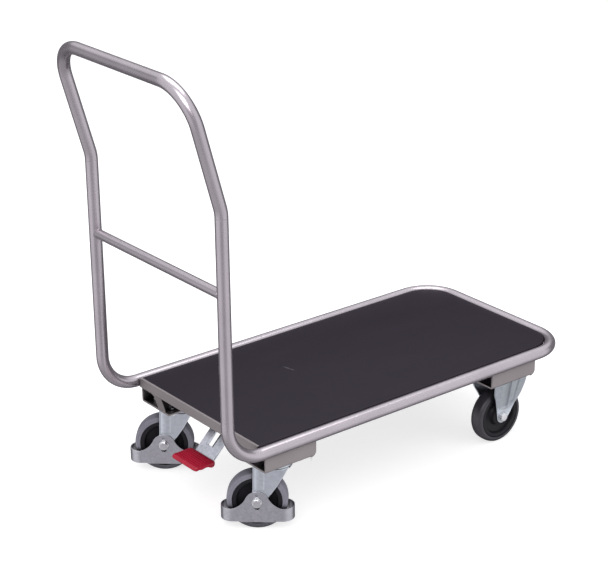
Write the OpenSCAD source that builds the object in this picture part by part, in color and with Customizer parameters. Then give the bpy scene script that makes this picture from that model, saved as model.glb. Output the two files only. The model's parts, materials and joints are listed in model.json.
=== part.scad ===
// Push-bar platform trolley: one bent tube carries a flush deck, two fixed castors in front,
// two braked swivel castors behind, and a central brake pedal. +X is forward, +Y is left, +Z is up.
// The origin is the middle of the trolley's footprint box, on the floor.

/* [Overall] */
// Length from the back of the grip bar to the front of the bumper bar
overall_l = 1005; // [960:5:1100]
// Width across the outside of the two side rails
overall_w = 466; // [460:2:560]
// Height of the top of the grip bar
overall_h = 981; // [950:1:1050]

/* [Tube frame] */
// Outside diameter of the frame tube
tube_d = 26; // [25:0.5:27]
// Wall thickness of the tubes
tube_wall = 2; // [1.5:0.5:2.5]
// Centre-line radius of every bend in the frame tube
bend_r = 80; // [70:1:85]
// Height of the kink, where the handle starts to lean back
kink_z = 724; // [700:1:740]
// How far the grip bar leans back behind the uprights
lean_dx = 67; // [50:1:80]
// Height of the crossbar between the uprights
crossbar_z = 559; // [520:1:600]
// Outside diameter of the crossbar
crossbar_d = 20; // [18:1:22]

/* [Deck] */
// Height of the deck's top face above the floor
deck_h = 215; // [214:0.5:216]
// Thickness of the deck board
deck_t = 10; // [9:0.5:10]
// How far the deck's top face lies below the top of the tube
deck_drop = 3.5; // [3:0.5:4]
// Distance from the uprights' axis to the face of the rear fascia
fascia_dx = 79; // [78:1:80]

/* [Castors] */
// Wheel diameter
wheel_d = 125; // [125:1:125]
// Tyre width
wheel_w = 32; // [28:1:32]
// Height of a whole castor, from the floor to the top of its plate
castor_h = 156; // [156:1:157]
// Half of the distance between left and right castors
castor_y = 165; // [160:1:165]
// Distance from the uprights' axis to the swivel castors' kingpins
rear_castor_dx = 152; // [150:1:154]
// Distance from the uprights' axis to the fixed castors' axles
front_castor_dx = 760; // [740:1:762]
// Horizontal offset between kingpin and wheel axle
trail = 36; // [36:1:36]
// How far both swivel castors are turned at rest
castor_turn = -40.4; // [-60:0.1:60]

/* [Brake] */
// Width of the pedal pad
pedal_w = 84; // [70:1:86]
// Width of the pedal lever
lever_w = 62; // [50:1:64]
// Width of the slot in the pedal lever
lever_slot = 18; // [10:1:20]

/* [Hidden] */
$fn = 96;
left = 1;
right = -1;
cut = 1;
running = 0.05;

// Tube frame
tube_r = tube_d / 2;
rail_y = overall_w / 2 - tube_r;
rail_z = deck_h + deck_drop - tube_r;
upright_x = -overall_l / 2 + lean_dx + tube_r;
front_bar_x = overall_l / 2 - tube_r;
grip_z = overall_h - tube_r;
lean = atan(lean_dx / (grip_z - kink_z));
hoop_l = sqrt(pow(lean_dx, 2) + pow(grip_z - kink_z, 2));
kink_tangent = bend_r * tan(lean / 2);
seam_z = kink_z - kink_tangent;
crossbar_r = crossbar_d / 2;
weld_r = 1.6;

// Deck and fascia
fascia_x = upright_x + fascia_dx;
fascia_t = 2;
fascia_top = deck_h + 2;
fascia_low = 196;
lip_w = 5;
deck_gap = 0.5;
deck_y = rail_y - tube_r - deck_gap;
deck_front = front_bar_x - tube_r - deck_gap;
deck_back = fascia_x + lip_w + deck_gap;
deck_corner = bend_r - tube_r - deck_gap;
deck_low = deck_h - deck_t;
member_w = 40;
member_h = 20;
member_t = 2;
member_dx = [244, 455, 670];
screw_y = 150;
screw_r = 2.5;
screw_hole_r = 2.6;

// Castors
wheel_r = wheel_d / 2;
kingpin_x = upright_x + rear_castor_dx;
front_axle_x = upright_x + front_castor_dx;
plate_l = 100;
plate_w = 85;
plate_t = 3;
plate_corner = 8;
plate_low = castor_h - plate_t;
fixed_plate_dx = 5;
bolt_dx = 40;
bolt_dy = 28.5;
bolt_r = 4;
bolt_hole_r = 4.5;
bolt_af = 13;
sheet = 2.8;
leg_in = 19.6;
leg_out = leg_in + sheet;
leg_tip_r = 13;
crown_z = castor_h - 13;
crown_r = 36;
race_r = 26;
ball_r = 3;
ball_n = 14;
kingpin_r = 10;

// Wheels
tyre_in = 51;
tyre_shoulder = 4;
hub_r = 21;
hub_half = 19;
sleeve_r = 7.5;
axle_r = 6;
axle_af = 17;

// Foot guards
guard_t = 2;
guard_out = leg_out + guard_t;
guard_straight = 75 - guard_out;
guard_low = 20;
guard_high = 48.5;
hump_r = 24.8;
fillet_r = 43;
fillet_u = 62;
fillet_z = 90;
slot_r = 6.2;

// Castor brackets
bracket_l = 127;
bracket_dx = 2;
bracket_t = 4;
bracket_out = rail_y - 3;
bracket_in = castor_y - 47;
bracket_plate_l = 115;
bracket_corner = 12;
bracket_top = castor_h + bracket_t;

// Central brake
shaft_x = upright_x + 176;
shaft_z = castor_h + 15;
shaft_r = 7;
shaft_half = castor_y + 25;
cam_r = 5;
cam_w = 10;
lever_t = 4;
lever_x = upright_x + 98;
lever_z = 111;
lever_len = 104;
lever_gap = (shaft_x - lever_x - shaft_z + lever_z) * sin(45);
lever_hub_r = lever_gap - lever_t / 2 + 0.4;
foot_l = 43;
foot_t = 2.5;
pedal_l = 54;
pin_r = 4;
pin_gap = 0.3;
pin_top = shaft_z - cam_r - pin_gap;
shoe_top = crown_z - 12;
shoe_clear = 5.6;

// The turned left foot guard reaches past the rail, so the footprint's middle lies off the rails' middle
guard_reach = castor_y - (trail + guard_straight) * sin(castor_turn) + guard_out;
frame_dy = -(max(guard_reach, overall_w / 2) - overall_w / 2) / 2;

// ---- Shared shapes ----

module steel() color([0.66, 0.64, 0.67]) children();
module zinc() color([0.74, 0.76, 0.80]) children();
module black() color([0.13, 0.12, 0.14]) children();

// A ring section for a tube of outside diameter d
module tube_section(d) {
    difference() {
        circle(d = d);
        circle(d = d - 2 * tube_wall);
    }
}

// A straight tube from the origin up +Z
module tube(d, l) linear_extrude(l) tube_section(d);

// A bend that starts at the origin heading +Z and turns towards +X
module tube_bend(angle = 90) {
    translate([bend_r, 0, 0]) rotate([-90, 0, 0]) rotate([0, 0, 180]) rotate_extrude(angle = angle)
        translate([bend_r, 0, 0]) tube_section(tube_d);
}

// A rectangle centred on the origin, with round corners
module round_rect(l, w, r) {
    square([l - 2 * r, w], center = true);
    square([l, w - 2 * r], center = true);
    for (sx = [-1, 1], sy = [-1, 1]) translate([sx * (l / 2 - r), sy * (w / 2 - r)]) circle(r);
}

// An outline drawn in (x, z), thickened along +Y from y
module side_plate(y, t) translate([0, y + t, 0]) rotate([90, 0, 0]) linear_extrude(t) children();

// A cylinder along Y, centred at height z
module cross_pin(r, y0, y1, z = 0) translate([0, y0, z]) rotate([-90, 0, 0]) cylinder(r = r, h = y1 - y0);

// A hexagon prism with across-flats size af
module hex(af, h) cylinder(r = af / sqrt(3), h = h, $fn = 6);

module centred() translate([0, frame_dy, 0]) children();
module at_front(side) centred() translate([front_axle_x, side * castor_y, 0]) children();
module at_rear_plate(side) centred() translate([kingpin_x, side * castor_y, 0]) children();
module at_swivel(side) at_rear_plate(side) rotate([0, 0, castor_turn]) children();
module at_rear_wheel(side) at_swivel(side) translate([-trail, 0, 0]) children();

// ---- Tube frame and handle ----

// One side: upright, bottom bend, side rail and front corner
module frame_side(side) {
    upright_l = seam_z - rail_z - bend_r;
    rail_l = front_bar_x - upright_x - 2 * bend_r;
    translate([upright_x, side * rail_y, rail_z + bend_r]) tube(tube_d, upright_l);
    translate([upright_x, side * rail_y, rail_z + bend_r]) mirror([0, 0, 1]) tube_bend();
    translate([upright_x + bend_r, side * rail_y, rail_z]) rotate([0, 90, 0]) tube(tube_d, rail_l);
    translate([front_bar_x - bend_r, side * rail_y, rail_z]) rotate([-side * 90, 0, 0])
        rotate([0, 90, 0]) tube_bend();
}

module frame_tube() {
    bar_l = 2 * (rail_y - bend_r);
    steel() centred() {
        for (side = [left, right]) frame_side(side);
        translate([front_bar_x, -bar_l / 2, rail_z]) rotate([-90, 0, 0]) tube(tube_d, bar_l);
    }
}

// The handle's upper part: it starts at the seams on the uprights, bends back and closes in a hoop
module handle_hoop() {
    leg_l = hoop_l - bend_r - kink_tangent;
    bar_l = 2 * (rail_y - bend_r);
    steel() centred() translate([upright_x, 0, kink_z]) rotate([0, -lean, 0]) {
        for (side = [left, right]) {
            translate([0, side * rail_y, kink_tangent]) rotate([0, 180, 0]) tube_bend(lean);
            translate([0, side * rail_y, kink_tangent]) tube(tube_d, leg_l);
            translate([0, side * rail_y, kink_tangent + leg_l]) rotate([0, 0, -side * 90]) tube_bend();
        }
        translate([0, -bar_l / 2, hoop_l]) rotate([-90, 0, 0]) tube(tube_d, bar_l);
    }
}

module handle_crossbar() {
    steel() centred() difference() {
        translate([upright_x, -rail_y, crossbar_z]) rotate([-90, 0, 0]) tube(crossbar_d, 2 * rail_y);
        for (side = [left, right]) {
            translate([upright_x, side * rail_y, crossbar_z - tube_d]) cylinder(r = tube_r, h = 2 * tube_d);
        }
    }
}

// ---- Welds ----

// A collar that follows the saddle where the crossbar meets one upright
module crossbar_bead(side) {
    translate([upright_x, side * rail_y, crossbar_z]) mirror([0, side > 0 ? 0 : 1, 0]) difference() {
        intersection() {
            cylinder(r = tube_r + weld_r, h = tube_d, center = true);
            rotate([90, 0, 0]) cylinder(r = crossbar_r + weld_r, h = tube_d);
        }
        cylinder(r = tube_r, h = 2 * tube_d, center = true);
        rotate([90, 0, 0]) cylinder(r = crossbar_r, h = 2 * tube_d);
    }
}

// A short weld between one end of the fascia and the tube
module fascia_bead(side) {
    difference() {
        translate([fascia_x - 7, side * (deck_y + 5.5), fascia_low + 4]) rotate([0, 90, 0])
            cylinder(r = 5, h = 7);
        translate([fascia_x - tube_d, side * rail_y, rail_z]) rotate([0, 90, 0])
            cylinder(r = tube_r, h = 2 * tube_d);
    }
}

module crossbar_welds() steel() centred() for (side = [left, right]) crossbar_bead(side);
module fascia_welds() steel() centred() for (side = [left, right]) fascia_bead(side);

// ---- Deck ----

module deck_outline() {
    square_x = deck_front - deck_corner;
    translate([deck_back, -deck_y]) square([square_x - deck_back, 2 * deck_y]);
    translate([square_x, -deck_y + deck_corner]) square([deck_corner, 2 * (deck_y - deck_corner)]);
    for (side = [left, right]) translate([square_x, side * (deck_y - deck_corner)]) circle(r = deck_corner);
}

// Screw positions, three along each cross member
module at_screws() {
    for (dx = member_dx, y = [-screw_y, 0, screw_y]) translate([upright_x + dx, y, 0]) children();
}

module deck_panel() {
    black() centred() difference() {
        translate([0, 0, deck_low]) linear_extrude(deck_t) deck_outline();
        at_screws() translate([0, 0, deck_low - cut]) cylinder(r = screw_hole_r, h = 8.5 + cut);
    }
}

// The fascia's upright face, its lip behind the deck's edge and its ledge under the deck
module fascia_plate() {
    end_y = deck_y + 0.3;
    translate([fascia_x, -end_y, fascia_low]) cube([fascia_t, 2 * end_y, fascia_top - fascia_low]);
    translate([fascia_x, -end_y, deck_h]) cube([lip_w, 2 * end_y, fascia_top - deck_h]);
    translate([fascia_x, -end_y, deck_low - fascia_t]) cube([21, 2 * end_y, fascia_t]);
}

// A strap from the fascia down to one rear castor bracket, with a fillet at its outer root
module fascia_strap(side) {
    drop = fascia_low - bracket_top;
    run = 11.5;
    fillet = 10;
    difference() {
        translate([fascia_x, 0, fascia_low]) rotate([0, -atan(run / drop), 0]) rotate([90, 0, 90])
            linear_extrude(fascia_t) difference() {
                translate([side * 148 - 18, -drop - 5]) square([36, drop + 5.2]);
                translate([side * (156 + fillet), -fillet]) circle(r = fillet);
                translate([side * (156 + fillet) - fillet, -drop - 6])
                    square([2 * fillet, drop + 6 - fillet]);
            }
        translate([fascia_x, -overall_w / 2, bracket_top - tube_d]) cube([tube_d, overall_w, tube_d]);
    }
}

module rear_fascia() {
    steel() centred() {
        fascia_plate();
        for (side = [left, right]) fascia_strap(side);
    }
}

module deck_cross_members() {
    end_y = deck_y + 0.3;
    ledge_in = 190;
    ledge_t = 3;
    low = deck_low - member_h;
    starts = [fascia_dx + 21, for (dx = member_dx) dx + member_w / 2];
    ends = [for (dx = member_dx) dx - member_w / 2, front_bar_x - upright_x - bend_r];
    steel() centred() {
        difference() {
            for (dx = member_dx) translate([upright_x + dx - member_w / 2, -end_y, low]) difference() {
                cube([member_w, 2 * end_y, member_h]);
                translate([member_t, -cut, member_t])
                    cube([member_w - 2 * member_t, 2 * end_y + 2 * cut, member_h - 2 * member_t]);
            }
            at_screws() translate([0, 0, low - cut]) cylinder(r = screw_hole_r, h = member_h + 2 * cut);
        }
        for (i = [0 : len(starts) - 1], side = [left, right]) {
            translate([upright_x + starts[i], side > 0 ? ledge_in : -end_y, deck_low - ledge_t])
                cube([ends[i] - starts[i], end_y - ledge_in, ledge_t]);
        }
    }
}

module deck_front_ledge() {
    ledge_l = 2 * (rail_y - bend_r) - 10;
    steel() centred() translate([front_bar_x - 34, -ledge_l / 2, deck_low - 3]) cube([20.8, ledge_l, 3]);
}

module deck_screws() {
    low = deck_low - member_h;
    zinc() centred() at_screws() {
        translate([0, 0, low]) cylinder(r = screw_r, h = member_h + 7);
        translate([0, 0, low - 2.5]) cylinder(r1 = 3.5, r2 = 5, h = 2.5);
    }
}

// ---- Castor brackets ----

module bolt_pattern() {
    for (sx = [-1, 1], sy = [-1, 1]) translate([sx * bolt_dx, sy * bolt_dy, 0]) children();
}

// A folded bracket: its flange hangs from the side rail and its plate carries a castor.
// x0 is its rear edge and plate_x is the middle of the castor's bolt pattern.
module castor_bracket(side, x0, plate_x, kingpin_hole) {
    fold_r = 5;
    steel() centred() mirror([0, side > 0 ? 0 : 1, 0]) difference() {
        union() {
            translate([x0, 0, 0]) rotate([90, 0, 90]) linear_extrude(bracket_plate_l) {
                translate([bracket_in, castor_h]) square([bracket_out - fold_r - bracket_in, bracket_t]);
                translate([bracket_out - bracket_t, castor_h + fold_r]) square([bracket_t, 37]);
                translate([bracket_out - fold_r, castor_h + fold_r]) intersection() {
                    difference() {
                        circle(r = fold_r);
                        circle(r = fold_r - bracket_t);
                    }
                    translate([0, -fold_r]) square(fold_r);
                }
            }
            translate([x0 + bracket_plate_l, bracket_out, castor_h + bracket_corner]) rotate([90, 0, 0])
                linear_extrude(bracket_t) {
                    square([bracket_corner, 42 - bracket_corner]);
                    intersection() {
                        circle(r = bracket_corner);
                        translate([0, -bracket_corner]) square(bracket_corner);
                    }
                }
        }
        translate([x0 - cut, rail_y, rail_z]) rotate([0, 90, 0])
            cylinder(r = tube_r + running, h = bracket_l + 2 * cut);
        translate([plate_x, castor_y, castor_h - cut]) {
            bolt_pattern() cylinder(r = bolt_hole_r, h = bracket_t + 2 * cut);
            cylinder(r = kingpin_hole, h = bracket_t + 2 * cut);
        }
    }
}

module bracket_front(side) {
    castor_bracket(side, front_axle_x + bracket_dx - bracket_l / 2, front_axle_x + fixed_plate_dx, 8);
}

module bracket_rear(side) {
    castor_bracket(side, kingpin_x + bracket_dx - bracket_l / 2, kingpin_x, 20);
}

// One bolt and its nut, clamping a castor plate to its bracket
module castor_bolt() {
    nut_h = 6.5;
    translate([0, 0, plate_low - nut_h - cut])
        cylinder(r = bolt_r, h = nut_h + plate_t + bracket_t + 2 * cut);
    translate([0, 0, bracket_top]) hex(bolt_af, 5.3);
    translate([0, 0, plate_low - nut_h]) difference() {
        hex(bolt_af, nut_h);
        translate([0, 0, -cut]) cylinder(r = bolt_r + running, h = nut_h + 2 * cut);
    }
}

module castor_bolts_front() {
    zinc() for (side = [left, right]) at_front(side) translate([fixed_plate_dx, 0, 0])
        bolt_pattern() castor_bolt();
}

module castor_bolts_rear() {
    zinc() for (side = [left, right]) at_rear_plate(side) bolt_pattern() castor_bolt();
}

// ---- Wheels ----

// Turns a profile drawn in (radius, width) about the axle
module about_axle() translate([0, 0, wheel_r]) rotate([90, 0, 0]) rotate_extrude() children();

module tyre_shape() {
    side_r = wheel_r - tyre_shoulder;
    about_axle() {
        translate([tyre_in, -wheel_w / 2]) square([side_r - tyre_in, wheel_w]);
        translate([side_r, tyre_shoulder - wheel_w / 2])
            square([tyre_shoulder, wheel_w - 2 * tyre_shoulder]);
        for (s = [-1, 1]) translate([side_r, s * (wheel_w / 2 - tyre_shoulder)]) circle(r = tyre_shoulder);
    }
}

module rim_shape() {
    rim_half = wheel_w / 2 - 1.5;
    web_half = 6;
    about_axle() {
        translate([42, -rim_half]) square([tyre_in - 42, 2 * rim_half]);
        translate([hub_r - cut, -web_half]) square([42 - hub_r + 2 * cut, 2 * web_half]);
        translate([sleeve_r + running, -hub_half]) square([hub_r - sleeve_r - running, 2 * hub_half]);
    }
}

module sleeve_shape() {
    about_axle() translate([axle_r + running, -leg_in]) square([sleeve_r - axle_r - running, 2 * leg_in]);
}

// A flanged hexagon head whose inner face lies at y on the side it points to
module axle_head(side, y) {
    translate([0, side * y, wheel_r]) rotate([-side * 90, 0, 0]) {
        cylinder(r = 10.5, h = 1.5);
        translate([0, 0, 1.5]) hex(axle_af, 5.5);
    }
}

// The axle bolt from its head on the right to its nut on the left; y is the outer face it clamps
module axle_shape(y) {
    cross_pin(axle_r, -y, y + 8, wheel_r);
    axle_head(right, y);
    difference() {
        axle_head(left, y);
        cross_pin(axle_r + running, y - cut, y + 9, wheel_r);
    }
}

// ---- Fixed front castors ----

// One flared leg: upright up to the waist, then leaning outwards to the plate
module front_leg(side) {
    waist = 86;
    flare = 15.5;
    stretch = 1 / cos(flare);
    low = [[-17.5, waist], [-14, 63.5], [10.4, 53.1], [24, 69], [35, waist]];
    high = [[35, 86], [40, 94], [48, 112], [52, 133], [53, 158], [-42, 158], [-35, 126], [-28, 112],
        [-17.5, 86]];
    difference() {
        union() {
            side_plate(side > 0 ? leg_in : -leg_out, sheet) {
                polygon(low);
                translate([0, wheel_r]) circle(r = leg_tip_r + 1);
            }
            translate([0, side * leg_in, waist]) rotate([-side * flare, 0, 0])
                side_plate(side > 0 ? 0 : -sheet, sheet)
                    polygon([for (p = high) [p.x, (p.y - waist) * stretch]]);
        }
        translate([-plate_l, -plate_l, plate_low + 1]) cube([2 * plate_l, 2 * plate_l, tube_d]);
        cross_pin(axle_r + running, -plate_w, plate_w, wheel_r);
    }
}

module front_fork(side) {
    zinc() at_front(side) {
        difference() {
            translate([fixed_plate_dx, 0, plate_low]) linear_extrude(plate_t)
                round_rect(plate_l, plate_w, plate_corner);
            translate([fixed_plate_dx, 0, plate_low - cut]) bolt_pattern()
                cylinder(r = bolt_hole_r, h = plate_t + 2 * cut);
        }
        front_leg(left);
        front_leg(right);
    }
}

module front_axle(side) zinc() at_front(side) axle_shape(leg_out);
module front_sleeve(side) steel() at_front(side) sleeve_shape();
module front_rim(side) black() at_front(side) rim_shape();
module front_tyre(side) color([0.30, 0.29, 0.31]) at_front(side) tyre_shape();

// ---- Swivel rear castors ----

module rear_plate(side) {
    zinc() at_rear_plate(side) {
        difference() {
            translate([0, 0, plate_low]) linear_extrude(plate_t) round_rect(plate_l, plate_w, plate_corner);
            translate([0, 0, plate_low - cut]) cylinder(r = kingpin_r + running, h = plate_t + 2 * cut);
            translate([0, 0, plate_low - cut]) bolt_pattern()
                cylinder(r = bolt_hole_r, h = plate_t + 2 * cut);
        }
        rotate_extrude() translate([race_r - 4, plate_low - 1.9]) square([8, 2.4]);
        rotate_extrude() translate([crown_r + 0.3, plate_low - 7.5]) square([2, 8]);
    }
}

module rear_kingpin(side) {
    zinc() at_rear_plate(side) difference() {
        union() {
            translate([0, 0, crown_z - sheet - 4])
                cylinder(r = kingpin_r, h = castor_h - crown_z + sheet + 5);
            translate([0, 0, castor_h]) cylinder(r = 17, h = 3);
            translate([0, 0, crown_z - sheet - 4]) cylinder(r = 15, h = 3.7);
        }
        translate([0, 0, crown_z - tube_d]) cylinder(r = pin_r + running, h = 2 * tube_d);
    }
}

// The lower race and its balls
module rear_race(side) {
    ball_z = castor_h - 8;
    zinc() at_swivel(side) {
        rotate_extrude() translate([race_r - 6, crown_z]) square([12, 1.9]);
        for (i = [0 : ball_n - 1]) rotate([0, 0, i * 360 / ball_n]) translate([race_r, 0, ball_z])
            sphere(r = ball_r, $fn = 32);
    }
}

module rear_leg(side) {
    side_plate(side > 0 ? leg_in : -leg_out, sheet) {
        polygon([[-7, crown_z], [-8.5, 90], [-12.8, 64.7], [10.8, 55.3], [26, 78], [42.5, 101], [53, 120],
            [65, crown_z]]);
        translate([0, wheel_r]) circle(r = leg_tip_r);
    }
}

module rear_fork(side) {
    zinc() at_swivel(side) difference() {
        union() {
            translate([0, 0, crown_z - sheet]) cylinder(r = crown_r, h = sheet);
            translate([-43, -leg_out, crown_z - sheet]) cube([75, 2 * leg_out, sheet]);
            translate([-trail, 0, 0]) {
                rear_leg(left);
                rear_leg(right);
            }
        }
        translate([0, 0, crown_z - sheet - cut]) cylinder(r = kingpin_r + running, h = sheet + 2 * cut);
        translate([-trail, 0, 0]) cross_pin(axle_r + running, -plate_w, plate_w, wheel_r);
    }
}

// The guard's raised cheek, with the axle slot and a small hole
module guard_cheek() {
    top = wheel_r + 10;
    difference() {
        union() {
            translate([0, wheel_r]) circle(r = hump_r);
            difference() {
                translate([-guard_straight, guard_high - 3])
                    square([2 * guard_straight, top - guard_high + 3]);
                for (s = [-1, 1]) translate([s * fillet_u, fillet_z]) circle(r = fillet_r);
            }
            translate([-35, guard_low - 1.5]) square([70, 2]);
            translate([-guard_straight, guard_low]) square([2 * guard_straight, guard_high - guard_low]);
        }
        translate([0, wheel_r]) circle(r = slot_r);
        translate([-slot_r, wheel_r - 9.5]) square([2 * slot_r, 9.5]);
        translate([0, wheel_r - 9.5]) circle(r = slot_r);
        translate([0, wheel_r + 16.5]) circle(r = 2.5);
    }
}

module rear_guard(side) {
    zinc() at_rear_wheel(side) {
        for (y = [-guard_out, leg_out]) side_plate(y, guard_t) guard_cheek();
        for (s = [-1, 1]) translate([s * guard_straight, 0, guard_low]) rotate([0, 0, -s * 90])
            rotate_extrude(angle = 180) translate([leg_out, 0]) square([guard_t, guard_high - guard_low]);
    }
}

module rear_axle(side) zinc() at_rear_wheel(side) axle_shape(guard_out);
module rear_sleeve(side) steel() at_rear_wheel(side) sleeve_shape();
module rear_rim(side) black() at_rear_wheel(side) rim_shape();
module rear_tyre(side) color([0.47, 0.46, 0.50]) at_rear_wheel(side) tyre_shape();

// ---- Central brake ----

module at_shaft() centred() translate([shaft_x, 0, shaft_z]) children();

module brake_shaft() {
    cam_x = shaft_x - kingpin_x;
    zinc() at_shaft() {
        cross_pin(shaft_r, -shaft_half, shaft_half);
        for (side = [left, right]) translate([0, side * castor_y - cam_w / 2, 0]) {
            translate([-cam_x, 0, -cam_r]) cube([cam_x, cam_w, 2 * cam_r]);
            translate([-cam_x, 0, 0]) cross_pin(cam_r, 0, cam_w);
        }
    }
}

module brake_bearings() {
    steel() at_shaft() for (side = [left, right], y = [121, 183]) difference() {
        side_plate(side * y - 2, 4) {
            translate([-10.5, bracket_top - shaft_z]) square([21, shaft_z - bracket_top]);
            circle(r = 10.5);
        }
        cross_pin(shaft_r + running, -shaft_half - tube_d, shaft_half + tube_d);
    }
}

// Draws along the lever plate, which climbs at 45 degrees from the pedal to the shaft
module on_lever() {
    centred() translate([lever_x, 0, lever_z]) rotate([0, -45, 0]) children();
}

// The lever's slot starts at 21 mm up the plate
module lever_shape() {
    difference() {
        union() {
            on_lever() translate([-5, -lever_w / 2, -lever_t / 2]) cube([lever_len + 5, lever_w, lever_t]);
            at_shaft() cross_pin(lever_hub_r, -lever_w / 2, lever_w / 2);
        }
        at_shaft() cross_pin(shaft_r, -lever_w, lever_w);
        on_lever() translate([21, 0.5 - lever_slot / 2, -tube_r]) cube([60, lever_slot, tube_d]);
    }
}

// The steel tongue inside the pedal pad
module pedal_tongue() {
    centred() translate([lever_x - foot_l, -27, lever_z - 3.4]) cube([foot_l - 1, 54, foot_t]);
}

module brake_lever() {
    zinc() {
        lever_shape();
        pedal_tongue();
    }
}

module brake_buffer() {
    black() on_lever() translate([21, 0.5 - lever_slot / 2, -2.5]) cube([60, 2, 5]);
}

// The pad's side profile, measured from the lever's foot
function pad_profile() = [[-56, -1.5], [-42, -6], [-26, -4], [-9, -9.5], [-3.5, -5], [-3.5, 3], [-51, 3]];

module brake_pedal() {
    nose_r = 5;
    color([0.72, 0.07, 0.15]) difference() {
        centred() translate([lever_x, 0, lever_z]) intersection() {
            union() {
                side_plate(-pedal_w / 2, pedal_w) polygon(pad_profile());
                translate([nose_r + 3 - pedal_l, 0, -2]) cross_pin(nose_r, -pedal_w / 2, pedal_w / 2);
            }
            translate([-pedal_l / 2 - 2, 0, -tube_r]) linear_extrude(tube_d)
                round_rect(pedal_l + 8, pedal_w, 8);
        }
        lever_shape();
        pedal_tongue();
    }
}

module brake_pin(side) {
    zinc() at_rear_plate(side) translate([0, 0, shoe_top + pin_gap])
        cylinder(r = pin_r, h = pin_top - shoe_top - pin_gap);
}

module brake_shoe(side) {
    black() at_swivel(side) difference() {
        translate([-20, -12, wheel_r + 40]) cube([32, 24, shoe_top - wheel_r - 40]);
        translate([-trail, 0, 0]) cross_pin(wheel_r + shoe_clear, -plate_w, plate_w, wheel_r);
    }
}

// ---- Draw ----

frame_tube();
handle_hoop();
handle_crossbar();
crossbar_welds();
fascia_welds();
deck_panel();
rear_fascia();
deck_cross_members();
deck_front_ledge();
deck_screws();
bracket_front(left);  // bracket_front_left
bracket_front(right);  // bracket_front_right
bracket_rear(left);  // bracket_rear_left
bracket_rear(right);  // bracket_rear_right
castor_bolts_front();
castor_bolts_rear();
front_fork(left);  // front_left_fork
front_axle(left);  // front_left_axle
front_sleeve(left);  // front_left_sleeve
front_rim(left);  // front_left_rim
front_tyre(left);  // front_left_tyre
front_fork(right);  // front_right_fork
front_axle(right);  // front_right_axle
front_sleeve(right);  // front_right_sleeve
front_rim(right);  // front_right_rim
front_tyre(right);  // front_right_tyre
rear_plate(left);  // rear_left_plate
rear_kingpin(left);  // rear_left_kingpin
rear_race(left);  // rear_left_race
rear_fork(left);  // rear_left_fork
rear_guard(left);  // rear_left_guard
rear_axle(left);  // rear_left_axle
rear_sleeve(left);  // rear_left_sleeve
rear_rim(left);  // rear_left_rim
rear_tyre(left);  // rear_left_tyre
brake_pin(left);  // rear_left_brake_pin
brake_shoe(left);  // rear_left_brake_shoe
rear_plate(right);  // rear_right_plate
rear_kingpin(right);  // rear_right_kingpin
rear_race(right);  // rear_right_race
rear_fork(right);  // rear_right_fork
rear_guard(right);  // rear_right_guard
rear_axle(right);  // rear_right_axle
rear_sleeve(right);  // rear_right_sleeve
rear_rim(right);  // rear_right_rim
rear_tyre(right);  // rear_right_tyre
brake_pin(right);  // rear_right_brake_pin
brake_shoe(right);  // rear_right_brake_shoe
brake_shaft();
brake_lever();
brake_pedal();
brake_buffer();
brake_bearings();
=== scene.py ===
"""Looks of the push-bar platform cart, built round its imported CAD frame.

Lengths in the tables below are in millimetres in the cart's own layout: x from the uprights' axis,
y from the middle of the side rails, z from the floor. place() turns them into the frame's metres.
"""
import json
import math

import bmesh
import bpy
from mathutils import Matrix, Vector, noise

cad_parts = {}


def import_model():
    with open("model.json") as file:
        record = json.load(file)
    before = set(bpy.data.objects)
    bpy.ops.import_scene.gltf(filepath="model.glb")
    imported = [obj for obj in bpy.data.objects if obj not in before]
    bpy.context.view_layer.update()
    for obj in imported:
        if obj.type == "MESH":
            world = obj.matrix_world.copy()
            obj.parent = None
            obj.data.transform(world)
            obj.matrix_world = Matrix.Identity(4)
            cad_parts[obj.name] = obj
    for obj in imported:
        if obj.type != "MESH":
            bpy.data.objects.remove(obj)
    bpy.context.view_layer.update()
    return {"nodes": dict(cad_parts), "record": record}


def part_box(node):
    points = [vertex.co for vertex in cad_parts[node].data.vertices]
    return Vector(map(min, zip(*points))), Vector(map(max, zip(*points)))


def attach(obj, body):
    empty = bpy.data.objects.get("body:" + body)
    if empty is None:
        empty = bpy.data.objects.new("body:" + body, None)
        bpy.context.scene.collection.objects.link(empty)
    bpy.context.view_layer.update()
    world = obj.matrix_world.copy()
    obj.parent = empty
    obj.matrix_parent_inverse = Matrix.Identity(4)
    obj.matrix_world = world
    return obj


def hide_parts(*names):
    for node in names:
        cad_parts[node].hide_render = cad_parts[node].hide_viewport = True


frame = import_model()

MM = 0.001
FRAME_LOW, FRAME_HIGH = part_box("frame_tube")
HOOP_LOW, HOOP_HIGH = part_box("handle_hoop")
DECK_LOW, DECK_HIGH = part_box("deck_panel")
TUBE_R = 13.0
BEND_R = 80.0
UPRIGHT_X = FRAME_LOW[0] + TUBE_R * MM
MIDDLE_Y = (FRAME_LOW[1] + FRAME_HIGH[1]) / 2
RAIL_Y = (FRAME_HIGH[1] - MIDDLE_Y) / MM - TUBE_R
RAIL_Z = FRAME_LOW[2] / MM + TUBE_R
FRONT_X = (FRAME_HIGH[0] - UPRIGHT_X) / MM - TUBE_R
SEAM_Z = FRAME_HIGH[2] / MM
GRIP_Z = HOOP_HIGH[2] / MM - TUBE_R
GRIP_X = (HOOP_LOW[0] - UPRIGHT_X) / MM + TUBE_R
KINK_Z = 724.0
DECK_Z = 215.0
LEAN = math.atan(-GRIP_X / (GRIP_Z - KINK_Z))
CASTOR_Y = 165.0
FRONT_AXLE_X = 760.0
KINGPIN_X = 152.0
WHEEL_R = 62.5
TRAIL = 36.0
CASTOR_TURN = math.radians(-40.4)
SIDES = {"left": 1, "right": -1}


def place(x, y, z):
    """A point of the cart's own layout in the frame's metres."""
    return Vector((UPRIGHT_X + x * MM, MIDDLE_Y + y * MM, z * MM))


# ---------------------------------------------------------------- materials


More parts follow.
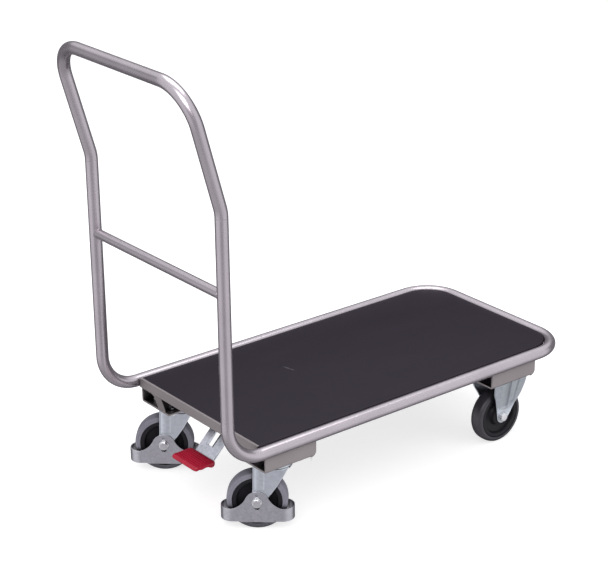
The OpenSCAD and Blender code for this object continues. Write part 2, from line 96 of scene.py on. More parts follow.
def principled(name, colour, rough, metal=0.0, spec=0.5, coat=0.0):
    """A new material and its node tree, with the constants set on the shader itself."""
    mat = bpy.data.materials.new(name)
    mat.use_nodes = True
    tree = mat.node_tree
    shader = tree.nodes["Principled BSDF"]
    shader.inputs["Base Color"].default_value = (*colour, 1)
    shader.inputs["Roughness"].default_value = rough
    shader.inputs["Metallic"].default_value = metal
    shader.inputs["Specular IOR Level"].default_value = spec
    shader.inputs["Coat Weight"].default_value = coat
    return mat, tree, shader


def texture(tree, kind, stretch=(1, 1, 1), **values):
    """A texture node on object coordinates in metres."""
    coords = tree.nodes.new("ShaderNodeTexCoord")
    mapping = tree.nodes.new("ShaderNodeMapping")
    mapping.inputs["Scale"].default_value = stretch
    tree.links.new(coords.outputs["Object"], mapping.inputs["Vector"])
    node = tree.nodes.new(kind)
    tree.links.new(mapping.outputs["Vector"], node.inputs["Vector"])
    for key, value in values.items():
        node.inputs[key.replace("_", " ")].default_value = value
    return node


def ramp(tree, source, stops):
    """A colour ramp over (position, colour) stops."""
    node = tree.nodes.new("ShaderNodeValToRGB")
    tree.links.new(source, node.inputs["Fac"])
    while len(node.color_ramp.elements) < len(stops):
        node.color_ramp.elements.new(0.5)
    for element, (position, colour) in zip(node.color_ramp.elements, stops):
        element.position = position
        element.color = (*colour, 1)
    return node


def remap(tree, source, low, high, start=0.0, end=1.0):
    """Maps start..end linearly to low..high, and clamps."""
    node = tree.nodes.new("ShaderNodeMapRange")
    node.inputs["From Min"].default_value = start
    node.inputs["From Max"].default_value = end
    node.inputs["To Min"].default_value = low
    node.inputs["To Max"].default_value = high
    tree.links.new(source, node.inputs["Value"])
    return node.outputs["Result"]


def uneven_gloss(tree, shader, source, low, high):
    """Lets a noise move the roughness between low and high."""
    tree.links.new(remap(tree, source, low, high), shader.inputs["Roughness"])


def bump(tree, shader, height, strength, distance):
    node = tree.nodes.new("ShaderNodeBump")
    node.inputs["Strength"].default_value = strength
    node.inputs["Distance"].default_value = distance
    tree.links.new(height, node.inputs["Height"])
    tree.links.new(node.outputs["Normal"], shader.inputs["Normal"])


def mix_colour(tree, factor, a, b, blend="MIX"):
    """Mixes two colours; each of factor, a and b is a socket or a value."""
    node = tree.nodes.new("ShaderNodeMix")
    node.data_type = "RGBA"
    node.blend_type = blend
    for index, value in ((0, factor), (6, a), (7, b)):
        if isinstance(value, bpy.types.NodeSocket):
            tree.links.new(value, node.inputs[index])
        else:
            node.inputs[index].default_value = value
    return node.outputs[2]


def scaled(colour, factor):
    return tuple(c * factor for c in colour)


def paint_shade_in_hollows(tree, colour, reach, depth, closed=0.25):
    """Paints shade into a colour: darker in folds, corners and hollows and close to other surfaces, by how
    closed in the surroundings are.

    depth is the factor that is left where no more than the share closed of the surroundings is open.
    """
    # painted shade: the colour is multiplied by how open the surroundings are
    hollow = tree.nodes.new("ShaderNodeAmbientOcclusion")
    hollow.samples = 8
    hollow.inputs["Distance"].default_value = reach
    open_sky = remap(tree, hollow.outputs["AO"], depth, 1.0, start=closed, end=0.85)
    return mix_colour(tree, 1.0, colour, open_sky, "MULTIPLY")


def coated_metal(name, colour, rough, metal, hollows=0.35, closed=0.25):
    """Satin metallic powder coat: fine flake, faint orange peel, slightly uneven tone, and painted shade in
    hollows.
    """
    mat, tree, shader = principled(name, colour, rough, metal)
    cloud = texture(tree, "ShaderNodeTexNoise", Scale=9.0, Detail=3.0)
    flake = texture(tree, "ShaderNodeTexNoise", Scale=1400.0, Detail=2.0)
    peel = texture(tree, "ShaderNodeTexNoise", Scale=260.0, Detail=2.0)
    tone = ramp(tree, cloud.outputs["Fac"], [(0.3, scaled(colour, 0.93)), (0.7, scaled(colour, 1.06))])
    mixed = mix_colour(tree, 0.12, tone.outputs["Color"], flake.outputs["Fac"], "OVERLAY")
    # painted shade in the coat's hollows and corners
    tree.links.new(paint_shade_in_hollows(tree, mixed, 0.05, hollows, closed), shader.inputs["Base Color"])
    uneven_gloss(tree, shader, cloud.outputs["Fac"], rough - 0.03, rough + 0.05)
    bump(tree, shader, peel.outputs["Fac"], 0.05, 0.0004)
    return mat


def zinc(name, colour, rough, spread, cell, streak):
    """Zinc plate: soft spangle cells, rolling streaks, a varying gloss, and painted shade in creases and
    round nuts.
    """
    mat, tree, shader = principled(name, colour, rough, 1.0)
    cells = texture(tree, "ShaderNodeTexVoronoi", Scale=cell)
    streaks = texture(tree, "ShaderNodeTexNoise", stretch=(1, 1, 0.12), Scale=streak, Detail=4.0)
    cloud = texture(tree, "ShaderNodeTexNoise", Scale=28.0, Detail=3.0)
    mix = tree.nodes.new("ShaderNodeMix")
    mix.data_type = "FLOAT"
    mix.inputs["Factor"].default_value = 0.5
    tree.links.new(streaks.outputs["Fac"], mix.inputs[2])
    grey = tree.nodes.new("ShaderNodeRGBToBW")
    tree.links.new(cells.outputs["Color"], grey.inputs["Color"])
    tree.links.new(grey.outputs["Val"], mix.inputs[3])
    low, high = scaled(colour, 1 - spread), scaled(colour, 1 + spread)
    tone = ramp(tree, mix.outputs[0], [(0.25, low), (0.75, high)])
    # painted shade in creases and round nuts and washers
    tree.links.new(paint_shade_in_hollows(tree, tone.outputs["Color"], 0.007, 0.30), shader.inputs["Base Color"])
    uneven_gloss(tree, shader, cloud.outputs["Fac"], rough - 0.06, rough + 0.10)
    bump(tree, shader, streaks.outputs["Fac"], 0.06, 0.0003)
    return mat


def moulded(name, colour, rough, grain, depth, spread=0.12, spec=0.5, coat=0.0, painted_shade=False):
    """Moulded plastic or rubber: fine grain, faint tone change, uneven gloss, and, if asked, painted shade
    in hollows and near the floor.
    """
    mat, tree, shader = principled(name, colour, rough, spec=spec, coat=coat)
    cloud = texture(tree, "ShaderNodeTexNoise", Scale=35.0, Detail=4.0)
    fine = texture(tree, "ShaderNodeTexNoise", Scale=grain, Detail=3.0)
    low, high = scaled(colour, 1 - spread), scaled(colour, 1 + spread)
    tone = ramp(tree, cloud.outputs["Fac"], [(0.3, low), (0.7, high)]).outputs["Color"]
    # painted shade, if asked: darker in hollows and where the floor is close
    tree.links.new(paint_shade_in_hollows(tree, tone, 0.03, 0.12, 0.40) if painted_shade else tone, shader.inputs["Base Color"])
    uneven_gloss(tree, shader, cloud.outputs["Fac"], rough - 0.05, rough + 0.07)
    bump(tree, shader, fine.outputs["Fac"], 0.15, depth)
    return mat


def deck_board():
    """Dark film-faced board: fine pressed grain, long faint rub marks and one short light scratch."""
    colour = (0.013, 0.0085, 0.0155)
    mat, tree, shader = principled("deck_board", colour, 0.42, spec=0.15)
    grain = texture(tree, "ShaderNodeTexNoise", Scale=900.0, Detail=2.0)
    rubs = texture(tree, "ShaderNodeTexNoise", stretch=(0.25, 1, 1), Scale=14.0, Detail=6.0, Roughness=0.65)
    tone = ramp(tree, rubs.outputs["Fac"], [(0.30, scaled(colour, 0.86)), (0.72, scaled(colour, 1.18))])
    fleck = ramp(tree, grain.outputs["Fac"], [(0.62, (0, 0, 0)), (0.80, (1, 1, 1))])
    flecks = remap(tree, fleck.outputs["Color"], 0.0, 0.35)
    mixed = mix_colour(tree, flecks, tone.outputs["Color"], (*scaled(colour, 1.9), 1))
    start, end = place(348.5, 64, DECK_Z), place(357.5, 24, DECK_Z)
    along = end - start
    scratch_half_width = 1.3
    spot = tree.nodes.new("ShaderNodeTexGradient")
    spot.gradient_type = "SPHERICAL"
    mapping = tree.nodes.new("ShaderNodeMapping")
    mapping.vector_type = "TEXTURE"
    mapping.inputs["Location"].default_value = (start + end) / 2
    mapping.inputs["Rotation"].default_value = (0, 0, math.atan2(along.y, along.x))
    mapping.inputs["Scale"].default_value = (along.length / 2, scratch_half_width * MM, 1)
    coords = tree.nodes.new("ShaderNodeTexCoord")
    tree.links.new(coords.outputs["Object"], mapping.inputs["Vector"])
    tree.links.new(mapping.outputs["Vector"], spot.inputs["Vector"])
    breaks = texture(tree, "ShaderNodeTexNoise", Scale=160.0, Detail=2.0)
    worn = tree.nodes.new("ShaderNodeMath")
    worn.operation = "MULTIPLY"
    tree.links.new(remap(tree, spot.outputs["Fac"], 0.0, 0.6, end=0.35), worn.inputs[0])
    tree.links.new(remap(tree, breaks.outputs["Fac"], 0.0, 1.0, start=0.42, end=0.55), worn.inputs[1])
    scratched = mix_colour(tree, worn.outputs["Value"], mixed, (0.16, 0.15, 0.17, 1))
    tree.links.new(scratched, shader.inputs["Base Color"])
    uneven_gloss(tree, shader, rubs.outputs["Fac"], 0.36, 0.52)
    bump(tree, shader, grain.outputs["Fac"], 0.12, 0.0002)
    return mat


# Both coats get painted shade in their hollows; the brackets' coat so much that their insides turn near
# black.
COAT = coated_metal("frame_coat", (0.53, 0.485, 0.525), 0.25, 0.90)
SHEET_COAT = coated_metal("bracket_coat", (0.32, 0.29, 0.295), 0.42, 0.72, hollows=0.04, closed=0.50)
DECK = deck_board()
ZINC = zinc("zinc_sheet", (0.79, 0.85, 0.91), 0.32, 0.07, 160.0, 60.0)
GUARD = zinc("guard_zinc", (0.62, 0.62, 0.665), 0.33, 0.10, 220.0, 90.0)
GALVANISED = zinc("galvanised", (0.66, 0.69, 0.75), 0.28, 0.16, 240.0, 40.0)
BOLT = zinc("bright_bolt", (0.85, 0.86, 0.88), 0.14, 0.05, 400.0, 200.0)
STEEL = zinc("machined_steel", (0.42, 0.42, 0.44), 0.30, 0.06, 300.0, 200.0)
CORE = moulded("wheel_core", (0.010, 0.009, 0.012), 0.42, 700.0, 0.0003, spec=0.22)
# Both tyres carry painted shade: they darken towards the floor, where the tread lies in shadow.
TYRE = moulded("tyre_grey", (0.175, 0.170, 0.203), 0.55, 900.0, 0.0005, spec=0.35, painted_shade=True)
# Painted shade: a darker copy of the grey tyre for the front pair, which sit out of the light that
# brightens the rear pair.
SHADED_TYRE = moulded("tyre_shaded", (0.034, 0.031, 0.038), 0.33, 900.0, 0.0004, spec=0.5, painted_shade=True)
PEDAL = moulded("pedal_red", (0.36, 0.004, 0.026), 0.36, 500.0, 0.0003, spec=0.35, coat=0.10)
RUBBER = moulded("black_rubber", (0.012, 0.012, 0.014), 0.60, 600.0, 0.0004)

NODE_MATERIAL = {
    "rear_fascia": SHEET_COAT, "deck_cross_members": SHEET_COAT, "deck_front_ledge": SHEET_COAT,
    "bracket": SHEET_COAT, "brake_bearings": SHEET_COAT, "deck_screws": BOLT, "castor_bolts": BOLT,
    "_axle": BOLT, "_fork": ZINC, "_plate": ZINC, "_guard": GUARD, "brake_lever": GALVANISED,
    "brake_shaft": GALVANISED, "_kingpin": STEEL, "_race": STEEL, "_sleeve": STEEL, "_brake_pin": STEEL,
    "_rim": CORE, "front_left_tyre": SHADED_TYRE, "front_right_tyre": SHADED_TYRE, "_tyre": TYRE,
    "brake_pedal": PEDAL, "brake_buffer": RUBBER, "_brake_shoe": RUBBER,
    "frame_tube": COAT, "handle_": COAT, "_welds": COAT, "deck_panel": DECK,
}


def node_material(node):
    """The first entry of the table that is part of the node's name decides."""
    return next(mat for part, mat in NODE_MATERIAL.items() if part in node)


BODY = {node: body for body, nodes in frame["record"]["behaviour"]["bodies"].items() for node in nodes}

for node, obj in frame["nodes"].items():
    for slot in obj.material_slots:
        slot.material = node_material(node)

# ---------------------------------------------------------------- making pieces


def finish_piece(name, bm, node, mat, replace=True, smooth_angle=35.0):
    """Turns a bmesh into a piece that rides with a node's body and, if asked, stands for the node."""
    bmesh.ops.recalc_face_normals(bm, faces=bm.faces)
    mesh = bpy.data.meshes.new(name)
    bm.to_mesh(mesh)
    bm.free()
    mesh.shade_smooth()
    mesh.set_sharp_from_angle(angle=math.radians(smooth_angle))
    obj = bpy.data.objects.new(name, mesh)
    bpy.context.scene.collection.objects.link(obj)
    mesh.materials.append(mat)
    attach(obj, BODY[node])
    if replace:
        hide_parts(node)
    return obj


def loft(bm, rings, closed=False):
    """Joins rings of points into a skin; an open loft gets end caps."""
    rows = [[bm.verts.new(p) for p in ring] for ring in rings]
    count = len(rows[0])
    pairs = list(zip(rows, rows[1:])) + ([(rows[-1], rows[0])] if closed else [])
    for a, b in pairs:
        for i in range(count):
            j = (i + 1) % count
            bm.faces.new((a[i], a[j], b[j], b[i]))
    if not closed:
        bm.faces.new(list(reversed(rows[0])))
        bm.faces.new(rows[-1])


def ring_frames(points, closed=False):
    """Rotation-minimising frames along a path."""
    count = len(points)
    tangents = []
    for i in range(count):
        a = points[i - 1] if closed or i else points[0]
        b = points[(i + 1) % count] if closed or i < count - 1 else points[-1]
        tangents.append((b - a).normalized())
    side = tangents[0].orthogonal().normalized()
    frames = []
    for tangent in tangents:
        side = (side - tangent * side.dot(tangent)).normalized()
        frames.append((side, tangent.cross(side)))
    return frames


def sweep(bm, points, radii, sides, closed=False):
    """A round skin along a path, with a radius at each point."""
    rings = []
    for point, radius, (a, b) in zip(points, radii, ring_frames(points, closed)):
        turn = [2 * math.pi * k / sides for k in range(sides)]
        rings.append([point + (a * math.cos(t) + b * math.sin(t)) * radius for t in turn])
    loft(bm, rings, closed)


class Pen:
    """Draws a tube's centre line: straight runs and bends, in millimetres."""

    def __init__(self, start, heading):
        self.points = [Vector(start)]
        self.heading = Vector(heading).normalized()

    def line(self, length, steps=1):
        start = self.points[-1]
        for i in range(1, steps + 1):
            self.points.append(start + self.heading * (length * i / steps))
        return self

    def bend(self, towards, angle=90.0, steps=28):
        start, along, inward = self.points[-1], self.heading.copy(), Vector(towards).normalized()
        for i in range(1, steps + 1):
            a = math.radians(angle) * i / steps
            ahead, aside = BEND_R * math.sin(a), BEND_R * (1 - math.cos(a))
            self.points.append(start + along * ahead + inward * aside)
        a = math.radians(angle)
        self.heading = (along * math.cos(a) + inward * math.sin(a)).normalized()
        return self


def tube_piece(node, points, radius, chamfer=0.6):
    """A round tube whose ends have a small chamfer, so a butt joint shows as a fine seam."""
    first, last = points[0], points[-1]
    lead = (points[1] - first).normalized() * chamfer
    tail = (points[-2] - last).normalized() * chamfer
    path = [first, first + lead] + points[1:-1] + [last + tail, last]
    radii = [radius - chamfer] + [radius] * (len(path) - 2) + [radius - chamfer]
    bm = bmesh.new()
    sweep(bm, [place(*p) for p in path], [r * MM for r in radii], sides=56)
    finish_piece(f"{node}_shape", bm, node, COAT)


def lathe(bm, profile, centre, axis):
    """Turns a closed (radius, width) outline about an axle through centre."""
    segments = 144
    axis = axis.normalized()
    a = axis.orthogonal().normalized()
    b = axis.cross(a)
    rings = []
    for k in range(segments):
        t = 2 * math.pi * k / segments
        out = a * math.cos(t) + b * math.sin(t)
        rings.append([centre + out * (r * MM) + axis * (w * MM) for r, w in profile])
    loft(bm, rings, closed=True)


def mirrored(half):
    """A closed outline from its half on the positive side."""
    return half + [(r, -w) for r, w in reversed(half)]


def dressed(node, width, mat):
    """A copy of a pressed or machined CAD node with its edges rounded, which stands for the node."""
    sharp = math.radians(28)
    bm = bmesh.new()
    bm.from_mesh(frame["nodes"][node].data)
    bmesh.ops.remove_doubles(bm, verts=bm.verts, dist=2e-6)
    bmesh.ops.dissolve_limit(bm, angle_limit=math.radians(0.4), verts=bm.verts, edges=bm.edges)
    edges = [e for e in bm.edges if e.is_manifold and e.calc_face_angle(0) > sharp]
    bmesh.ops.bevel(
        bm, geom=edges, offset=width * MM, segments=2, profile=0.5, affect="EDGES", clamp_overlap=False
    )
    obj = finish_piece(f"{node}_shape", bm, node, mat, smooth_angle=50.0)
    flat_faces = obj.modifiers.new("flat_faces", "WEIGHTED_NORMAL")
    flat_faces.keep_sharp = True
    flat_faces.weight = 80


# ---------------------------------------------------------------- camera


def aim_camera():
    """The fitted view; distances are in millimetres, the focal length in pixels of a 608 px wide frame."""
    az, el, roll = math.radians(-38.06), math.radians(22.16), math.radians(-0.67)
    target, distance = Vector((339.26, -36.9, 432.33)), 3923.59
    focal, width = 1916.53, 608
    back = Vector((math.sin(az) * math.cos(el), -math.cos(az) * math.cos(el), math.sin(el)))
    level = Vector((math.cos(az), math.sin(az), 0))
    upright = back.cross(level)
    right = level * math.cos(roll) + upright * math.sin(roll)
    up = upright * math.cos(roll) - level * math.sin(roll)
    data = bpy.data.cameras.new("camera")
    data.sensor_width = 36
    data.sensor_fit = "HORIZONTAL"
    data.lens = focal / width * data.sensor_width
    data.shift_x, data.shift_y = -0.0048, 0.0042
    data.clip_end = 100
    cam = bpy.data.objects.new("camera", data)
    rotation = Matrix((right, up, back)).transposed().to_4x4()
    cam.matrix_world = Matrix.Translation(place(*(target + back * distance))) @ rotation
    bpy.context.scene.collection.objects.link(cam)
    bpy.context.scene.camera = cam


aim_camera()

# ---------------------------------------------------------------- tubes


def frame_path():
    """From the left seam down, round the deck and up to the right seam."""
    pen = Pen((0, RAIL_Y, SEAM_Z), (0, 0, -1))
    pen.line(SEAM_Z - RAIL_Z - BEND_R, 6).bend((1, 0, 0))
    pen.line(FRONT_X - 2 * BEND_R, 10).bend((0, -1, 0))
    pen.line(2 * (RAIL_Y - BEND_R), 4).bend((-1, 0, 0))
    pen.line(FRONT_X - 2 * BEND_R, 10).bend((0, 0, 1))
    return pen.line(SEAM_Z - RAIL_Z - BEND_R, 6).points


def hoop_path():
    """From the left seam up, over the grip bar and down to the right seam."""
    tangent = BEND_R * math.tan(LEAN / 2)
    leg = math.hypot(GRIP_X, GRIP_Z - KINK_Z) - BEND_R - tangent
    lean = math.degrees(LEAN)
    pen = Pen((0, RAIL_Y, KINK_Z - tangent), (0, 0, 1)).bend((-1, 0, 0), lean, 10).line(leg, 4)
    up = pen.heading.copy()
    pen.bend((0, -1, 0)).line(2 * (RAIL_Y - BEND_R), 6).bend(-up)
    return pen.line(leg, 4).bend((-math.cos(LEAN), 0, -math.sin(LEAN)), lean, 10).points


tube_piece("frame_tube", frame_path(), TUBE_R)
tube_piece("handle_hoop", hoop_path(), TUBE_R)

CROSSBAR_Z = sum(c[2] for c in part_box("handle_crossbar")) / 2 / MM
CROSSBAR_R = 10.0
CROSSBAR_END = RAIL_Y - 9
tube_piece(
    "handle_crossbar", [Vector((0, share * CROSSBAR_END, CROSSBAR_Z)) for share in (-1, -0.5, 0, 0.5, 1)],
    CROSSBAR_R, chamfer=0.2,
)


def crossbar_welds():
    """A rippled bead that follows the saddle between the crossbar and each upright."""
    steps, ripples = 72, 18
    bm = bmesh.new()
    for side in SIDES.values():
        points, radii = [], []
        for k in range(steps):
            t = 2 * math.pi * k / steps
            x, z = CROSSBAR_R * math.cos(t), CROSSBAR_R * math.sin(t)
            inward = math.sqrt(TUBE_R ** 2 - x ** 2)
            points.append(place(x * 1.02, side * (RAIL_Y - inward - 0.2), CROSSBAR_Z + z * 1.02))
            radii.append((1.1 + 0.2 * math.sin(ripples * t)) * MM)
        sweep(bm, points, radii, sides=10, closed=True)
    finish_piece("crossbar_welds_shape", bm, "crossbar_welds", COAT)


crossbar_welds()


def fascia_welds():
    """A flattened, slightly lumpy bead on the tube at each end of the fascia."""
    bead_r, flatness = 4.6, 0.7
    bm = bmesh.new()
    for side in SIDES.values():
        centre = place(75.5, side * 212, 200)
        at_centre = Matrix.Translation(centre)
        ball = bmesh.ops.create_icosphere(bm, subdivisions=4, radius=bead_r * MM, matrix=at_centre)
        for vert in ball["verts"]:
            out = vert.co - centre
            out.x *= flatness
            vert.co = centre + out * (1 + 0.08 * noise.noise(out * 900))
    finish_piece("fascia_welds_shape", bm, "fascia_welds", COAT)


fascia_welds()

# ---------------------------------------------------------------- deck


def deck_piece():
    """The board: straight rear corners, round front corners, and a small arris round its top."""
    x0, y0, z0 = DECK_LOW
    x1, y1, z1 = DECK_HIGH
    gap = 0.5
    corner = (BEND_R - TUBE_R - gap) * MM
    outline = [(x0, y0)]
    for cy, start in ((y0 + corner, -90), (y1 - corner, 0)):
        for k in range(33):
            t = math.radians(start + 90 * k / 32)
            outline.append((x1 - corner + corner * math.cos(t), cy + corner * math.sin(t)))
    outline.append((x0, y1))
    arris = 0.8 * MM
    middle = Vector(((x0 + x1) / 2, (y0 + y1) / 2, 0))

    def ring(inset, z):
        sx = 1 - inset / ((x1 - x0) / 2)
        sy = 1 - inset / ((y1 - y0) / 2)
        return [
            Vector((middle.x + (x - middle.x) * sx, middle.y + (y - middle.y) * sy, z)) for x, y in outline
        ]

    bm = bmesh.new()
    loft(bm, [ring(0, z0), ring(0, z1 - arris), ring(arris * 0.3, z1 - arris * 0.3), ring(arris, z1)])
    finish_piece("deck_panel_shape", bm, "deck_panel", DECK, smooth_angle=60)


deck_piece()
dressed("rear_fascia", 0.5, SHEET_COAT)
for bracket in ("bracket_front_left", "bracket_front_right", "bracket_rear_left", "bracket_rear_right"):
    dressed(bracket, 0.6, SHEET_COAT)

# ---------------------------------------------------------------- castors


class Castor:
    """A castor's own axes: u forward, v across (out through its left side), z up."""

    def __init__(self, x, y, turn):
        self.x, self.y = x, y
        self.u = Vector((math.cos(turn), math.sin(turn), 0))
        self.v = Vector((-math.sin(turn), math.cos(turn), 0))

    def at(self, u, v, z):
        return place(self.x, self.y, 0) + (self.u * u + self.v * v + Vector((0, 0, z))) * MM


FRONT = {side: Castor(FRONT_AXLE_X, sign * CASTOR_Y, 0) for side, sign in SIDES.items()}
TRAIL_X, TRAIL_Y = TRAIL * math.cos(CASTOR_TURN), TRAIL * math.sin(CASTOR_TURN)
REAR = {
    side: Castor(KINGPIN_X - TRAIL_X, sign * CASTOR_Y - TRAIL_Y, CASTOR_TURN)
    for side, sign in SIDES.items()
}
CASTORS = {f"front_{s}": c for s, c in FRONT.items()} | {f"rear_{s}": c for s, c in REAR.items()}

# Half outlines of the wheel parts as (radius, distance from the wheel's middle)
TYRE_HALF = [
    (51.0, 14.4), (51.4, 15.6), (52.6, 16.0), (55.6, 16.0), (56.0, 15.7), (56.6, 15.7), (57.0, 16.0),
    (58.6, 15.9), (60.2, 15.2), (61.5, 13.8), (62.2, 11.8), (62.45, 8.0), (62.5, 3.0),
]
FRONT_TYRE_HALF = [
    (51.0, 14.4), (51.4, 15.4), (52.4, 15.8), (54.5, 15.7), (57.0, 15.0), (59.2, 13.6), (60.9, 11.4),
    (61.9, 8.4), (62.4, 5.0), (62.5, 2.0),
]
RIM_HALF = [
    (7.55, 19.0), (11.5, 19.0), (12.2, 18.4), (19.6, 17.4), (21.0, 16.4), (22.4, 8.8), (24.5, 6.4),
    (37.5, 6.0), (39.8, 7.2), (41.6, 12.6), (42.8, 14.2), (44.2, 14.5), (49.6, 14.5), (50.6, 13.9),
    (50.95, 13.0),
]


def wheel(name, castor):
    """A castor's tyre and rim; the front pair has a rounder tyre in a darker copy of the grey tyre's
    material, which is painted shade.
    """
    centre = castor.at(0, 0, WHEEL_R)
    tread = (FRONT_TYRE_HALF, SHADED_TYRE) if name.startswith("front") else (TYRE_HALF, TYRE)
    for kind, half, mat in (("tyre", *tread), ("rim", RIM_HALF, CORE)):
        bm = bmesh.new()
        lathe(bm, mirrored(half), centre, castor.v)
        finish_piece(f"{name}_{kind}_shape", bm, f"{name}_{kind}", mat, smooth_angle=40)


for castor_name, castor in CASTORS.items():
    wheel(castor_name, castor)

# The forks' legs: half the room between them, their sheet, and where and how much the front ones flare
LEG_IN, SHEET = 19.6, 2.8
LEG_OUT = LEG_IN + SHEET
GUARD_SHEET = 2.0
WAIST, FLARE = 86.0, math.radians(15.5)


def front_face(z):
    """Half-width of a front leg's outer face at height z: upright to the waist, then flared."""
    return LEG_OUT if z <= WAIST else LEG_IN + (z - WAIST) * math.tan(FLARE) + SHEET / math.cos(FLARE)


def rear_face(_z):
    """Half-width of a rear leg's outer face, the same at every height."""
    return LEG_OUT


def between(table, z):
    """Linear interpolation in a table of (z, value) pairs with z falling."""
    for (z1, a), (z0, b) in zip(table, table[1:]):
        if z0 <= z <= z1:
            return a + (b - a) * (z1 - z) / (z1 - z0)
    return table[-1][1]


def pressed_panel(bm, castor, side, face, left_edge, right_edge, height):
    """A raised pressing on a fork leg's outer face, between two edges that run down the leg."""
    top, bottom = left_edge[0][0], left_edge[-1][0]
    steps, slope, fade = 36, 1.6, 3.0
    rings = []
    for k in range(steps + 1):
        z = top + (bottom - top) * k / steps
        rise = height * min(1.0, (z - bottom) / fade)
        a, b = between(left_edge, z), between(right_edge, z)
        out = face(z)
        shape = [(a, -0.6), (a + slope * 0.5, rise * 0.6), (a + slope, rise), (b - slope, rise),
                 (b - slope * 0.5, rise * 0.6), (b, -0.6)]
        rings.append([castor.at(u, side * (out + off), z) for u, off in shape])
    loft(bm, rings)


def hem(bm, castor, side, face, edge, radius):
    """A rolled edge along part of a fork leg's outline."""
    points = [castor.at(u, side * (face(z) - 0.6), z) for u, z in edge]
    sweep(bm, points, [radius * MM] * len(points), sides=12)


def tip_arc(radius, start, end):
    """Points round the axle at a leg's tip, as (u, z), between two angles in degrees."""
    steps = 14
    angles = [math.radians(start + (end - start) * k / steps) for k in range(steps + 1)]
    return [(radius * math.cos(t), WHEEL_R + radius * math.sin(t)) for t in angles]


FRONT_HEM = [(52.0, 150), (51.4, 133), (47.4, 112), (39.4, 94), (34.4, 86), (23.2, 69), (14.6, 58.2)]
FRONT_HEM_REAR = [(-13.8, 66), (-16.8, 86), (-27.2, 112), (-34.2, 126), (-40.5, 150)]

for side_name, castor in FRONT.items():
    node = f"front_{side_name}_fork"
    dressed(node, 0.5, ZINC)
    bm = bmesh.new()
    for side in (1, -1):
        pressed_panel(bm, castor, side, front_face, [(151, -24), (WAIST, -11), (79, -8.5)],
                      [(151, 10), (WAIST, 15.5), (79, 15.5)], 1.1)
        pressed_panel(bm, castor, side, front_face, [(151, 17), (100, 21), (92, 22)],
                      [(151, 33), (100, 31.5), (92, 29.5)], 0.8)
        hem(bm, castor, side, front_face, FRONT_HEM + tip_arc(13.2, -20, -170) + FRONT_HEM_REAR, 1.1)
    finish_piece(f"front_{side_name}_pressings", bm, node, ZINC, replace=False, smooth_angle=45)

for side_name, castor in REAR.items():
    node = f"rear_{side_name}_fork"
    dressed(node, 0.5, ZINC)
    bm = bmesh.new()
    for side in (1, -1):
        pressed_panel(bm, castor, side, rear_face, [(140, -3.5), (92, -4.5), (89, -4.5)],
                      [(140, 17), (92, 15.5), (89, 15)], 0.9)
        hem(bm, castor, side, rear_face, [(63.5, 141.5), (52.4, 120), (41.9, 101.4), (27, 79.8)], 0.9)
    finish_piece(f"rear_{side_name}_pressings", bm, node, ZINC, replace=False, smooth_angle=45)
    dressed(f"rear_{side_name}_guard", 0.45, GUARD)
    dressed(f"rear_{side_name}_plate", 0.4, ZINC)


def axle_ends(name, castor, clamp):
    """The axle bolt with its flanged, chamfered head and nut, and the bolt's domed end in the nut."""
    shank_r, hexagon_half = 6, 8.5
    bm = bmesh.new()
    centre = castor.at(0, 0, WHEEL_R)
    for side in (1, -1):
        axis = castor.v * side
        a = axis.orthogonal().normalized()
        b = axis.cross(a)

        def ring(radius, offset, hexagon):
            points = []
            for k in range(96):
                t = 2 * math.pi * k / 96
                r = radius
                if hexagon:
                    local = (t + math.pi / 6) % (math.pi / 3) - math.pi / 6
                    r = min(radius, hexagon_half / math.cos(local))
                out = a * math.cos(t) + b * math.sin(t)
                points.append(centre + out * (r * MM) + axis * (offset * MM))
            return points

        outer = [
            (10.2, 0.0, False), (10.5, 0.4, False), (10.5, 0.9, False), (9.9, 1.5, False),
            (9.81, 1.7, True), (9.81, 5.4, True), (9.1, 6.3, True), (8.2, 6.9, False), (7.4, 7.0, False),
        ]
        if side > 0:
            outer += [(6.6, 6.4, False), (6.0, 6.5, False), (6.0, 7.2, False), (5.2, 7.9, False)]
        loft(bm, [ring(r, clamp + offset, hexagon) for r, offset, hexagon in outer])
    sweep(bm, [castor.at(0, v, WHEEL_R) for v in (-clamp - 1, 0, clamp + 1)], [shank_r * MM] * 3, sides=48)
    finish_piece(f"{name}_axle_shape", bm, f"{name}_axle", BOLT, smooth_angle=28)


for castor_name, castor in CASTORS.items():
    axle_ends(castor_name, castor, LEG_OUT + (0 if castor_name.startswith("front") else GUARD_SHEET))
for bolts in ("castor_bolts_front", "castor_bolts_rear"):
    dressed(bolts, 0.5, BOLT)

# ---------------------------------------------------------------- pedal

PEDAL_LOW, PEDAL_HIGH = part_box("brake_pedal")


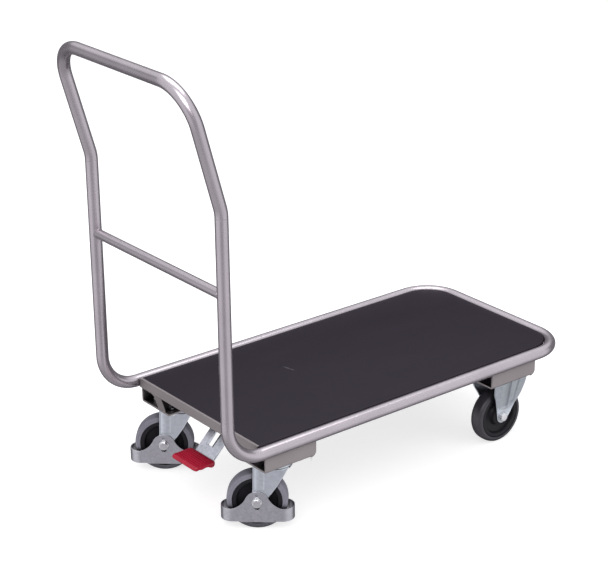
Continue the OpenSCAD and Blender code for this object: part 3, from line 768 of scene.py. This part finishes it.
def pedal_piece():
    """The moulded pad: its wavy side profile, swept across with rounded ends and tread ribs on top."""
    x0 = (PEDAL_LOW[0] - UPRIGHT_X) / MM
    half = (PEDAL_HIGH[1] - PEDAL_LOW[1]) / MM / 2
    top = PEDAL_HIGH[2] / MM
    low = PEDAL_LOW[2] / MM
    upper = [(94.5, top - 2.2), (92.8, top - 0.5), (90, top)]
    ribs = [(x0 + 40 - 6.0 * k, top) for k in range(6)]
    for x, z in ribs:
        upper += [(x + 1.9, z), (x + 1.4, z - 1.0), (x - 1.4, z - 1.0), (x - 1.9, z)]
    nose = [(x0 + 5.5, top - 0.2), (x0 + 2.4, top - 1.4), (x0 + 0.5, top - 3.6), (x0, top - 5.6),
            (x0 + 0.8, top - 7.2), (x0 + 3.0, top - 8.4)]
    under = [(x0 + 8, low + 5.6), (x0 + 14, low + 3.8), (x0 + 20, low + 3.6), (x0 + 28, low + 5.2),
             (x0 + 35, low + 4.6), (x0 + 41, low + 1.8), (x0 + 46, low + 0.1), (x0 + 49, low + 0.4),
             (x0 + 51.6, low + 2.6), (x0 + 52.4, low + 5.6)]
    profile = upper + nose + under
    mid_x, mid_z = sum(x for x, _ in profile) / len(profile), sum(z for _, z in profile) / len(profile)
    stations = [
        (-1.0, 0.80), (-0.985, 0.90), (-0.95, 0.965), (-0.90, 0.99), (-0.82, 1.0), (-0.4, 1.0), (0, 1.0),
    ]
    stations += [(-a, b) for a, b in reversed(stations[:-1])]
    rings = []
    for position, scale in stations:
        scale_z = 0.4 + 0.6 * scale
        rings.append([
            place(mid_x + (x - mid_x) * scale, position * half, mid_z + (z - mid_z) * scale_z)
            for x, z in profile
        ])
    bm = bmesh.new()
    loft(bm, rings)
    finish_piece("brake_pedal_shape", bm, "brake_pedal", PEDAL, smooth_angle=50)


pedal_piece()
dressed("brake_lever", 0.5, GALVANISED)

# ---------------------------------------------------------------- stage


def area_light(name, position, target, size, power, glossy=True):
    """A soft rectangular light; one that isn't glossy leaves no highlights."""
    data = bpy.data.lights.new(name, "AREA")
    data.shape = "RECTANGLE"
    data.size, data.size_y = size
    data.energy = power
    light = bpy.data.objects.new(name, data)
    light.location = position
    light.rotation_euler = (Vector(target) - Vector(position)).to_track_quat("-Z", "Y").to_euler()
    light.visible_glossy = glossy
    bpy.context.scene.collection.objects.link(light)


def floor():
    """A pale floor that glows a little, which keeps its shadows soft, and isn't mirrored in the tubes."""
    bm = bmesh.new()
    bmesh.ops.create_grid(bm, x_segments=1, y_segments=1, size=30)
    mesh = bpy.data.meshes.new("floor")
    bm.to_mesh(mesh)
    bm.free()
    obj = bpy.data.objects.new("floor", mesh)
    mat, _, shader = principled("floor", (0.50, 0.50, 0.503), 0.9, spec=0.1)
    shader.inputs["Emission Color"].default_value = (1, 1, 1, 1)
    shader.inputs["Emission Strength"].default_value = 0.70
    mesh.materials.append(mat)
    obj.visible_glossy = False
    bpy.context.scene.collection.objects.link(obj)


def world():
    """A soft studio: white screens to both sides of the photographer and overhead, dark elsewhere."""
    to_photographer = (-0.6165, -0.7874, 0)
    white = (1.0, 0.99, 1.02)
    studio = bpy.data.worlds.new("world")
    studio.use_nodes = True
    tree = studio.node_tree
    coords = tree.nodes.new("ShaderNodeTexCoord")
    facing = tree.nodes.new("ShaderNodeVectorMath")
    facing.operation = "DOT_PRODUCT"
    facing.inputs[1].default_value = to_photographer
    split = tree.nodes.new("ShaderNodeSeparateXYZ")
    for node in (facing, split):
        tree.links.new(coords.outputs["Generated"], node.inputs[0])
    round_wall = remap(tree, facing.outputs["Value"], 0.0, 1.0, start=-1.0, end=1.0)
    wall = ramp(tree, round_wall, [
        (0.32, (0.17, 0.16, 0.18)), (0.44, white), (0.86, white), (0.96, (0.48, 0.45, 0.49)),
    ])
    overhead = remap(tree, split.outputs["Z"], 0.0, 1.0, start=0.38, end=0.54)
    ground = remap(tree, split.outputs["Z"], 0.40, 1.0, start=-0.80, end=-0.30)
    shade = mix_colour(tree, overhead, wall.outputs["Color"], (1.05, 1.05, 1.07, 1))
    shade = mix_colour(tree, 1.0, shade, ground, "MULTIPLY")
    background = tree.nodes["Background"]
    tree.links.new(shade, background.inputs["Color"])
    background.inputs["Strength"].default_value = 0.9
    bpy.context.scene.world = studio


floor()
world()
area_light("key", (-2.6, -2.2, 3.0), (0, 0, 0.4), (2.8, 2.8), 60)
area_light("fill", (1.8, -3.2, 2.0), (0, 0, 0.4), (2.4, 3.0), 30, glossy=False)
area_light("top", (0.4, 0.3, 3.6), (0, 0, 0.2), (3.0, 2.4), 50)
bpy.context.scene.view_settings.view_transform = "Standard"
